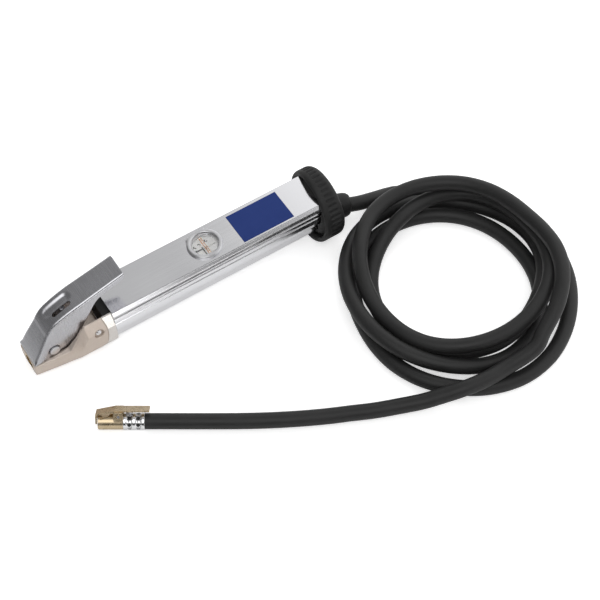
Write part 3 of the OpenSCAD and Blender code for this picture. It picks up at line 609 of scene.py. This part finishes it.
def lever_mesh():
    """Pressed from one sheet: a plate with rounded bends down into its two cheeks."""
    verts, dents, row = lever_points()
    faces = [(i * row + k, i * row + k + 1, (i + 1) * row + k + 1, (i + 1) * row + k)
             for i in range(LEVER_STEPS - 1) for k in range(row - 1)]
    sheet = laid_mesh("trigger_lever", verts, faces)
    face_up(sheet)
    solid = worked(sheet, ("SOLIDIFY", {"thickness": LEVER_T * MM, "offset": -1}))
    # Dish and cup are sunk in the outer skin, whose points come first
    for vertex, sunk in zip(solid.vertices, dents):
        vertex.co += LAY.to_3x3() @ Vector(sunk)
    cut = cut_away(solid, slot_tool(SLOT_AT, SLOT_RUN, SLOT_R, *SLOT_HEIGHTS))
    crisp = worked(cut, ("BEVEL", {
        "width": EDGE_BREAK * MM, "segments": 2, "limit_method": "ANGLE",
        "angle_limit": math.radians(50), "use_clamp_overlap": True}))
    return finished(crisp, 40)


# ---- gauge ----

# Marks printed on the gauge's face, each as (x, y, length, width, turn in degrees) from its middle
FACE_MARKS = [
    (-8.4, 4.2, 1.7, 0.9, 60), (-7.6, 2.9, 1.6, 0.9, -30), (-3.7, 5.1, 1.8, 0.8, 20),
    (-2.7, 4.1, 1.3, 0.8, 100), (2.6, 5.6, 2.2, 0.9, 80), (3.7, 4.4, 1.7, 0.8, 20),
    (0, -1.6, 1.9, 1.1, 90), (-6.3, -5.9, 1.2, 0.7, 10), (-5.0, -8.0, 1.1, 0.7, 40),
    (-0.2, -9.1, 1.5, 0.8, 30), (-8.6, -2.9, 1.2, 0.8, 85),
]
# The index bar, in two lengths with a gap between them for the pointer's stem
FACE_MARKS += [(-2.5, -5.4, 7.6, 1.0, 90), (-2.5, 0.3, 1.8, 1.0, 90)]
INK_T = 0.08

# Two fine lines under the lens, and the ticks on them
HAIRLINES = [(-1.2, -0.6, 18.6, 0.55, 90), (0.6, -0.6, 17.9, 0.45, 90)]
HAIRLINES += [(-0.3, y, 1.8, 0.35, 0) for y in (7, 4.6, 2.2, -2.6, -5, -7.4)]
HAIRLINE_H, HAIRLINE_T = 21.4, 0.2

POINTER_Y = -1.1
POINTER = [(-5.7, POINTER_Y, 6.2, 0.9, 0), (-8.6, -0.9, 2.0, 0.9, 90)]
POINTER_POST = (-6.5, POINTER_Y, 0.7, 0.7, 0)
POINTER_GAP, POINTER_T = 0.4, 0.3
STEM_SLOT_RUN, STEM_SLOT_R = 8.4, 0.45
# What stands on the CAD piston is cut off from here up, under a bar of this place and size
PISTON_TOP = GAUGE_LIFT + 3
PISTON_CUT = (-6.5, 0, 20, 20, 0)


def bars(name, marks, z0, z1):
    """Thin raised bars, placed from the gauge's middle."""
    verts, faces = [], []
    for x, y, length, width, turn in marks:
        c, n = math.cos(math.radians(turn)), math.sin(math.radians(turn))
        corners = [(-length, -width), (length, -width), (length, width), (-length, width)]
        ring = [(GAUGE_X + x + (u * c - v * n) / 2, y + (u * n + v * c) / 2) for u, v in corners]
        faces += [tuple(len(verts) + k for k in face) for face in prism_faces(4)]
        verts += [(*p, z) for z in (z0, z1) for p in ring]
    return finished(laid_mesh(name, verts, faces))


def dial_mesh():
    """The round face under the lens, with the slot that the pointer's stem slides in."""
    disc = disc_tool(WELL_R - 0.1, GAUGE_X, WELL_FLOOR, SCALE_TOP)
    slot = slot_tool((GAUGE_X, POINTER_Y), STEM_SLOT_RUN, STEM_SLOT_R, WELL_FLOOR - 1, SCALE_TOP + 1)
    return finished(cut_away(disc, slot))


def face_marks_mesh():
    return bars("face_marks", FACE_MARKS, SCALE_TOP, SCALE_TOP + INK_T)


def hairlines_mesh():
    return bars("hairlines", HAIRLINES, HAIRLINE_H - HAIRLINE_T / 2, HAIRLINE_H + HAIRLINE_T / 2)


def pointer_mesh():
    """The flat pointer on its post, with the piston below that carries it."""
    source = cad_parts["gauge_piston"]
    piston = source.data.copy()
    piston.transform(source.matrix_world)
    above = bars("tool", [PISTON_CUT], PISTON_TOP, TOP_H + 3)
    low = SCALE_TOP + POINTER_GAP
    made = bmesh.new()
    made.from_mesh(cut_away(piston, above))
    made.from_mesh(bars("post", [POINTER_POST], GAUGE_LIFT, low + POINTER_T / 3))
    made.from_mesh(bars("flag", POINTER, low, low + POINTER_T))
    mesh = bpy.data.meshes.new("pointer")
    made.to_mesh(mesh)
    made.free()
    return finished(mesh)


# How far each spring is pressed together at its joint's limit, in metres
GAUGE_TRAVEL, VALVE_TRAVEL, CLIP_TRAVEL = 0.013, 0.00545, 0.0011


def shortening_spring(node, towards, travel):
    """The spring's CAD solid as a steel piece of its own on the tool's body, in place of the node."""
    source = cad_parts[node]
    mesh = source.data.copy()
    mesh.transform(source.matrix_world)
    along = [towards.dot(vertex.co) for vertex in mesh.vertices]
    coil = add_piece(node + "_coil", mesh, "inflator", MATERIALS["steel"], node, (node,))
    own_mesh(coil)


# ---- materials ----

def grey(level):
    return (level, level, level, 1)


def give(tree, socket, value):
    """Link an output to the socket, or set the socket to a plain value."""
    if hasattr(value, "is_linked"):
        tree.links.new(value, socket)
    else:
        socket.default_value = value


def wire(tree, kind, **sockets):
    """A new node with its named sockets given."""
    made = tree.nodes.new(kind)
    for name, value in sockets.items():
        give(tree, made.inputs[name], value)
    return made


def operation(tree, kind, name, *values):
    """A new node that works out its values by the named operation."""
    made = tree.nodes.new(kind)
    made.operation = name
    for socket, value in zip(made.inputs, values):
        give(tree, socket, value)
    return made


def math_node(tree, name, a, b):
    return operation(tree, "ShaderNodeMath", name, a, b).outputs[0]


def vector_node(tree, name, *values):
    return operation(tree, "ShaderNodeVectorMath", name, *values)


def mixed_color(tree, factor, a, b):
    made = tree.nodes.new("ShaderNodeMix")
    made.data_type = "RGBA"
    for k, value in ((0, factor), (6, a), (7, b)):
        give(tree, made.inputs[k], value)
    return made.outputs[2]


def mapped_range(tree, value, low, high, to_low, to_high):
    made = wire(tree, "ShaderNodeMapRange", **{
        "Value": value, "From Min": low, "From Max": high, "To Min": to_low, "To Max": to_high})
    return made.outputs["Result"]


class Shader:
    """A material under construction."""

    def __init__(self, name, color, metallic=0, roughness=0.5, **sockets):
        self.material = bpy.data.materials.new(name)
        self.material.use_nodes = True
        self.tree = self.material.node_tree
        self.surface = self.tree.nodes["Principled BSDF"]
        self.feed("Base Color", (*color, 1))
        self.feed("Metallic", metallic)
        self.feed("Roughness", roughness)
        for socket, value in sockets.items():
            self.feed(socket, value)

    def feed(self, name, value):
        give(self.tree, self.surface.inputs[name], value)

    def group(self, tree, **sockets):
        made = self.tree.nodes.new("ShaderNodeGroup")
        made.node_tree = tree
        for name, value in sockets.items():
            give(self.tree, made.inputs[name], value)
        return made

    def wear(self, skin, depth):
        """Take colour, roughness and relief from a skin; depth is the relief's height in metres."""
        self.feed("Base Color", skin.outputs["Color"])
        self.feed("Roughness", skin.outputs["Roughness"])
        relief = wire(self.tree, "ShaderNodeBump", Height=skin.outputs["Height"], Distance=depth,
                      Strength=RELIEF)
        self.feed("Normal", relief.outputs["Normal"])


def skin_group(name, first, second):
    """A group that gives colour, roughness and height, with two scales of its own."""
    tree = bpy.data.node_groups.new(name, "ShaderNodeTree")
    inputs = [
        ("Vector", "NodeSocketVector", (0, 0, 0)),
        (first[0], "NodeSocketFloat", first[1]),
        (second[0], "NodeSocketFloat", second[1]),
        ("Color A", "NodeSocketColor", grey(0.5)),
        ("Color B", "NodeSocketColor", grey(0.6)),
        ("Roughness Low", "NodeSocketFloat", 0.2),
        ("Roughness High", "NodeSocketFloat", 0.35),
    ]
    outputs = [("Color", "NodeSocketColor"), ("Roughness", "NodeSocketFloat"), ("Height", "NodeSocketFloat")]
    for label, kind, value in inputs:
        made = tree.interface.new_socket(label, in_out="INPUT", socket_type=kind)
        made.default_value = value
    for label, kind in outputs:
        tree.interface.new_socket(label, in_out="OUTPUT", socket_type=kind)
    return tree, tree.nodes.new("NodeGroupInput").outputs


def close_skin(tree, given, fine, fine_share, clouds, low, high):
    """Colour and roughness go from their first values to their second with the mixed noises."""
    share = math_node(tree, "ADD", math_node(tree, "MULTIPLY", fine.outputs["Fac"], fine_share),
                      math_node(tree, "MULTIPLY", clouds.outputs["Fac"], 1 - fine_share))
    share = mapped_range(tree, share, low, high, 0, 1)
    wire(tree, "NodeGroupOutput", **{
        "Color": mixed_color(tree, share, given["Color A"], given["Color B"]),
        "Roughness": mapped_range(tree, share, 0, 1, given["Roughness Low"], given["Roughness High"]),
        "Height": fine.outputs["Fac"],
    })
    return tree


def make_streaks():
    """Fine lines drawn out along one direction, over slow cloudy changes."""
    tree, given = skin_group("drawn_streaks", ("Across", 900), ("Along", 12))
    scale = wire(tree, "ShaderNodeCombineXYZ", X=given["Along"], Y=given["Across"], Z=given["Across"])
    stretched = vector_node(tree, "MULTIPLY", given["Vector"], scale.outputs[0])
    lines = wire(tree, "ShaderNodeTexNoise", Vector=stretched.outputs[0], Scale=1.0, Detail=3.0,
                 Roughness=0.6)
    clouds = wire(tree, "ShaderNodeTexNoise", Vector=given["Vector"], Scale=28.0, Detail=2.0)
    return close_skin(tree, given, lines, 0.6, clouds, 0.3, 0.7)


def make_grain():
    """An even fine grain, as cast or moulded surfaces have, over slow cloudy changes."""
    tree, given = skin_group("fine_grain", ("Grain", 1500), ("Clouds", 60))
    grain = wire(tree, "ShaderNodeTexNoise", Vector=given["Vector"], Scale=given["Grain"], Detail=4.0,
                 Roughness=0.6)
    clouds = wire(tree, "ShaderNodeTexNoise", Vector=given["Vector"], Scale=given["Clouds"], Detail=3.0)
    return close_skin(tree, given, grain, 0.5, clouds, 0.35, 0.65)


STREAKS = make_streaks()
GRAIN = make_grain()
RELIEF = 0.6
TILT = (0, PITCH, 0)
MATT = {"Specular IOR Level": 0.35}


def drawn_metal(name, dark, light, rough, across, along, depth):
    """Metal with fine drawn lines that follow the barrel's tilt."""
    made = Shader(name, light[:3], metallic=1.0, roughness=rough[1])
    place = wire(made.tree, "ShaderNodeTexCoord")
    spin = wire(made.tree, "ShaderNodeMapping", Vector=place.outputs["Object"], Rotation=TILT)
    lines = made.group(STREAKS, **{
        "Vector": spin.outputs[0], "Across": across, "Along": along, "Color A": dark, "Color B": light,
        "Roughness Low": rough[0], "Roughness High": rough[1]})
    made.wear(lines, depth)
    return made.material


def grained(name, dark, light, rough, grain=900, clouds=60, depth=0.00001, metallic=0.0, **sockets):
    """Cast metal, moulded rubber or plastic."""
    made = Shader(name, light[:3], metallic=metallic, roughness=rough[1], **sockets)
    place = wire(made.tree, "ShaderNodeTexCoord")
    skin = made.group(GRAIN, **{
        "Vector": place.outputs["Object"], "Grain": grain, "Clouds": clouds, "Color A": dark,
        "Color B": light, "Roughness Low": rough[0], "Roughness High": rough[1]})
    made.wear(skin, depth)
    return made.material


def plated(name, dark, light, rough):
    """Smooth metal with a faint grain."""
    return grained(name, dark, light, rough, grain=700, metallic=1.0)


def drawn_aluminium():
    return drawn_metal("drawn aluminium", (0.78, 0.78, 0.80, 1), (0.84, 0.84, 0.86, 1), (0.11, 0.17),
                       across=1400, along=9, depth=0.000006)


def pressed_steel():
    return drawn_metal("pressed steel, zinc plated", (0.50, 0.50, 0.52, 1), (0.61, 0.61, 0.64, 1),
                       (0.22, 0.32), across=60, along=1100, depth=0.00002)


def cast_nose():
    return grained("cast nose, nickel plated", (0.62, 0.53, 0.46, 1), (0.70, 0.61, 0.54, 1), (0.36, 0.48),
                   clouds=45, depth=0.00004, metallic=0.55)


def cast_collar():
    return grained("cast collar, nickel plated", (0.70, 0.66, 0.62, 1), (0.82, 0.79, 0.76, 1), (0.18, 0.28),
                   clouds=45, depth=0.00003, metallic=1.0)


def satin_plating():
    return plated("satin plating", (0.60, 0.60, 0.62, 1), (0.74, 0.74, 0.75, 1), (0.28, 0.4))


def bright_plating():
    return plated("bright plating", (0.78, 0.78, 0.79, 1), (0.88, 0.88, 0.89, 1), (0.12, 0.22))


def spring_steel():
    return plated("spring steel", (0.42, 0.42, 0.44, 1), (0.55, 0.55, 0.57, 1), (0.25, 0.38))


def turned_brass():
    return grained("turned brass", (0.70, 0.52, 0.24, 1), (0.80, 0.62, 0.32, 1), (0.2, 0.32), metallic=1.0)


def nickel_plated_brass():
    return grained("nickel plated brass", (0.52, 0.41, 0.26, 1), (0.66, 0.54, 0.37, 1), (0.2, 0.36),
                   grain=1100, clouds=120, depth=0.00003, metallic=1.0)


def moulded_rubber():
    return grained("moulded rubber", grey(0.010), grey(0.018), (0.5, 0.65), grain=1100, clouds=70,
                   depth=0.00005, **MATT)


def hose_cover():
    return grained("hose cover", grey(0.014), grey(0.022), (0.42, 0.55), grain=1300, clouds=40,
                   depth=0.00004, **MATT)


def orange_plastic():
    return grained("orange plastic", (0.62, 0.27, 0.07, 1), (0.72, 0.34, 0.1, 1), (0.3, 0.4))


def black_plastic():
    return grained("black plastic", grey(0.02), grey(0.04), (0.35, 0.5), depth=0.00002)


def black_ink():
    return grained("black ink", grey(0.012), grey(0.03), (0.4, 0.55))


def printed_scale():
    return grained("printed scale", (0.88, 0.88, 0.87, 1), (0.95, 0.95, 0.94, 1), (0.4, 0.5))


def blue_film():
    return grained("blue film", (0.014, 0.034, 0.160, 1), (0.018, 0.040, 0.178, 1), (0.32, 0.4),
                   grain=1500, clouds=50, **{"Specular IOR Level": 0.12})


def gauge_glass():
    glass = Shader("gauge glass", (1, 1, 1), roughness=0.03, **{"Transmission Weight": 1.0, "IOR": 1.45})
    return glass.material


MATERIALS = {
    "barrel": drawn_aluminium(), "nose_block": cast_nose(), "nose_collar": cast_collar(),
    "trigger_lever": pressed_steel(), "bezel": satin_plating(), "bright": bright_plating(),
    "steel": spring_steel(), "brass": turned_brass(), "rubber": moulded_rubber(), "hose": hose_cover(),
    "orange": orange_plastic(), "ink": black_ink(), "black_plastic": black_plastic(),
    "scale": printed_scale(), "label": blue_film(), "bronze": nickel_plated_brass(),
    "glass": gauge_glass(),
}

# The material of each node
NODE_MATERIALS = {
    "barrel": "barrel", "nose_block": "nose_block", "nose_collar": "nose_collar", "front_gasket": "rubber",
    "nose_screws": "bright", "trigger_lever": "trigger_lever", "lever_pin": "bezel", "pin_clip": "steel",
    "inlet_bush": "brass", "valve_cap": "brass", "valve_spring": "steel", "valve_stem": "steel",
    "valve_seat": "rubber", "gauge_tube": "brass", "gauge_piston": "orange", "piston_seal": "rubber",
    "gauge_spring": "steel", "gauge_plug": "black_plastic", "gauge_scale": "scale", "gauge_lens": "glass",
    "gauge_bezel": "bezel", "label_plate": "label", "hand_guard": "rubber", "end_plate": "steel",
    "outlet_fitting": "brass", "outlet_boot": "rubber", "hose_lead_in": "hose", "hose_coil": "hose",
    "hose_lead_out": "hose", "ferrule": "bright", "connector_body": "bronze", "connector_seal": "rubber",
    "core_pin": "brass", "connector_clip": "bronze", "clip_pin": "steel", "clip_spring": "steel",
}

# Nodes that are shown with their edges rounded: body, grain in mm, smoothing passes, share of faces kept
SOFTENED = {
    "nose_block": ("inflator", 0.4, 14, 0.5), "nose_collar": ("inflator", 0.3, 3, 0.6),
    "outlet_boot": ("inflator", 0.4, 4, 0.5), "nose_screws": ("inflator", 0.15, 3, 0.5),
    "lever_pin": ("lever", 0.2, 3, 0.5), "gauge_bezel": ("inflator", 0.25, 3, 0.5),
    "ferrule": ("inflator", 0.25, 3, 0.5), "connector_body": ("inflator", 0.22, 3, 0.5),
    "connector_clip": ("clip", 0.2, 3, 0.5),
}
BOOT_SWELL = (1.18, 1.05, 1.05)


# ---- floor and light ----

FLOOR_HALF, FLOOR_Z = 6, -0.0002
PAPER, SHADED_PAPER = grey(0.86), grey(0.05)
SEEN_GLOW, MIRRORED_GLOW = 0.53, 0.08

# Each ramp is (start, end, level up to the start, level past the end) along an axis
FLOOR_SHADE_X = (-0.16, -0.26, 0, 0.85)
FLOOR_LIT_Y = (-0.4, -0.7, 0, 1.8)
FLOOR_LIT_X = (0.25, 0.1, 0.15, 1)
SKY_LEFT_X = (-0.5, 0.15, 0.2, 0.55)
SKY_RIGHT_X = (0.2, 0.26, 1.0, 1.95)
SKY_FRONT_Y = (-0.75, -0.4, 0.2, 1.0)

# Centre, stretch, inner and outer edge, and level of the sky's soft areas. The last takes light away
SOFT_AREAS = [
    ((-0.35, -0.42, 0.83), (0.7, 0.9, 0.8), 0.12, 0.46, 2.0),
    ((0.055, -0.99, 0.03), (3.0, 1.2, 1.6), 0.33, 0.45, 2.2),
    ((0.6, -0.78, 0.2), (1.0, 0.8, 0.8), 0.31, 0.38, 0.6),
    ((0.25, -0.05, 0.97), (1.0, 1.0, 1.0), 0.15, 0.35, -0.6),
]

# Name, place, size and watts of each lamp
LAMPS = [
    ("overhead softbox", (0.35, 0.5, 1.3), (0.9, 0.9), 4),
    ("front softbox", (-0.5, -0.9, 1.2), (1.0, 0.8), 2.5),
]
LAMP_TARGET = Vector((0.05, -0.05, 0))


def pale_floor():
    """Paper that the camera sees glowing, and that metal mirrors with a shade and a light on it."""
    paper = bpy.data.materials.new("pale floor")
    paper.use_nodes = True
    tree = paper.node_tree
    tree.nodes.clear()
    path = wire(tree, "ShaderNodeLightPath").outputs
    place = wire(tree, "ShaderNodeTexCoord")
    axes = wire(tree, "ShaderNodeSeparateXYZ", Vector=place.outputs["Object"]).outputs
    shade = mapped_range(tree, axes["X"], *FLOOR_SHADE_X)
    shade = math_node(tree, "MULTIPLY", shade, path["Is Glossy Ray"])
    diffuse = wire(tree, "ShaderNodeBsdfDiffuse", Color=mixed_color(tree, shade, PAPER, SHADED_PAPER))
    lit = math_node(tree, "MULTIPLY", mapped_range(tree, axes["Y"], *FLOOR_LIT_Y),
                    mapped_range(tree, axes["X"], *FLOOR_LIT_X))
    lit = math_node(tree, "ADD", lit, MIRRORED_GLOW)
    lit = math_node(tree, "MULTIPLY", lit, path["Is Glossy Ray"])
    seen = math_node(tree, "MAXIMUM", path["Is Camera Ray"], path["Is Transmission Ray"])
    seen = math_node(tree, "MULTIPLY", seen, SEEN_GLOW)
    glow = wire(tree, "ShaderNodeEmission", Strength=math_node(tree, "ADD", seen, lit))
    both = tree.nodes.new("ShaderNodeAddShader")
    give(tree, both.inputs[0], diffuse.outputs[0])
    give(tree, both.inputs[1], glow.outputs[0])
    wire(tree, "ShaderNodeOutputMaterial", Surface=both.outputs[0])
    return paper


def make_floor():
    mesh = bpy.data.meshes.new("floor")
    signs = ((-1, -1), (1, -1), (1, 1), (-1, 1))
    corners = [(x * FLOOR_HALF, y * FLOOR_HALF, FLOOR_Z) for x, y in signs]
    mesh.from_pydata(corners, [], [(0, 1, 2, 3)])
    floor = bpy.data.objects.new("floor", mesh)
    bpy.context.scene.collection.objects.link(floor)
    mesh.materials.append(pale_floor())


def soft_area(tree, direction, centre, stretch, inner, outer, level):
    """Light from a soft-edged area of the sky round the centre direction."""
    away = vector_node(tree, "SUBTRACT", direction, Vector(centre).normalized())
    sized = vector_node(tree, "MULTIPLY", away.outputs[0], stretch)
    length = vector_node(tree, "LENGTH", sized.outputs[0])
    return mapped_range(tree, length.outputs["Value"], inner, outer, level, 0)


def make_world():
    """A studio that the camera sees as white, and that lights the object by direction."""
    world = bpy.data.worlds.new("studio")
    bpy.context.scene.world = world
    world.use_nodes = True
    tree = world.node_tree
    tree.nodes.clear()
    direction = wire(tree, "ShaderNodeTexCoord").outputs["Generated"]
    axes = wire(tree, "ShaderNodeSeparateXYZ", Vector=direction).outputs
    side = math_node(tree, "MULTIPLY", mapped_range(tree, axes["X"], *SKY_LEFT_X),
                     mapped_range(tree, axes["X"], *SKY_RIGHT_X))
    level = math_node(tree, "MULTIPLY", side, mapped_range(tree, axes["Y"], *SKY_FRONT_Y))
    for area in SOFT_AREAS:
        level = math_node(tree, "ADD", level, soft_area(tree, direction, *area))
    seen = wire(tree, "ShaderNodeBackground", Color=grey(1))
    lit = wire(tree, "ShaderNodeBackground", Color=grey(1), Strength=level)
    path = wire(tree, "ShaderNodeLightPath")
    pick = tree.nodes.new("ShaderNodeMixShader")
    choice = (path.outputs["Is Camera Ray"], lit.outputs[0], seen.outputs[0])
    for socket, output in zip(pick.inputs, choice):
        give(tree, socket, output)
    wire(tree, "ShaderNodeOutputWorld", Surface=pick.outputs[0])


def make_lamp(name, place, size, watts):
    """A soft lamp that metal doesn't mirror."""
    data = bpy.data.lights.new(name, "AREA")
    data.shape = "RECTANGLE"
    data.size, data.size_y = size
    data.energy = watts
    lamp = bpy.data.objects.new(name, data)
    bpy.context.scene.collection.objects.link(lamp)
    lamp.location = place
    lamp.visible_glossy = False
    lamp.rotation_mode = "QUATERNION"
    lamp.rotation_quaternion = (LAMP_TARGET - Vector(place)).to_track_quat("-Z", "Y")


# ---- the making ----

HOSE_STEP, HOSE_SIDES = 2.6, 28
BARREL_WAY = Vector((math.cos(PITCH), 0, math.sin(PITCH)))
BARREL_DOWN = Vector((math.sin(PITCH), 0, -math.cos(PITCH)))
CONNECTOR_DOWN = -(AT_CONNECTOR.to_3x3() @ Vector((0, 0, 1))).normalized()

make_camera()

for node, finish in NODE_MATERIALS.items():
    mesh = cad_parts[node].data
    mesh.materials.clear()
    mesh.materials.append(MATERIALS[finish])

for node, (body, grain, passes, keep) in SOFTENED.items():
    mesh = softened(node, grain, passes, keep)
    if node == "outlet_boot":
        swell(mesh, laid_mm(BACK_FACE, 0, -PASSAGE_DROP) * MM, BOOT_SWELL)
    add_piece(node + "_finished", mesh, body, MATERIALS[NODE_MATERIALS[node]], node, (node,))

add_piece("barrel_extrusion", barrel_mesh(), "inflator", MATERIALS["barrel"], "barrel", ("barrel",))
add_piece("ribbed_guard", guard_mesh(), "inflator", MATERIALS["rubber"], "hand_guard", ("hand_guard",))
add_piece("pressed_lever", lever_mesh(), "lever", MATERIALS["trigger_lever"], "trigger_lever",
          ("trigger_lever",))
add_piece("dial", dial_mesh(), "inflator", MATERIALS["scale"], "gauge_scale", ("gauge_scale",))
add_piece("face_marks", face_marks_mesh(), "inflator", MATERIALS["ink"], "gauge_scale")
add_piece("hairlines", hairlines_mesh(), "inflator", MATERIALS["orange"], "gauge_lens")
add_piece("pointer", pointer_mesh(), "piston", MATERIALS["ink"], "gauge_piston", ("gauge_piston",))

shortening_spring("gauge_spring", BARREL_WAY, GAUGE_TRAVEL)
shortening_spring("valve_spring", BARREL_DOWN, VALVE_TRAVEL)
shortening_spring("clip_spring", CONNECTOR_DOWN, CLIP_TRAVEL)

centreline, hose_length = smooth_route(hose_route(), HOSE_STEP)
centreline = [p * MM for p in centreline]
hose = add_piece("hose", tube_mesh("hose", centreline, HOSE_R * MM, HOSE_SIDES), "inflator",
                 MATERIALS["hose"], "hose_coil", ("hose_lead_in", "hose_coil", "hose_lead_out"))
tuple(centreline[0])
[tuple(p) for p in centreline]

make_floor()
make_world()
for lamp in LAMPS:
    make_lamp(*lamp)

view = bpy.context.scene.view_settings
view.view_transform = "Standard"
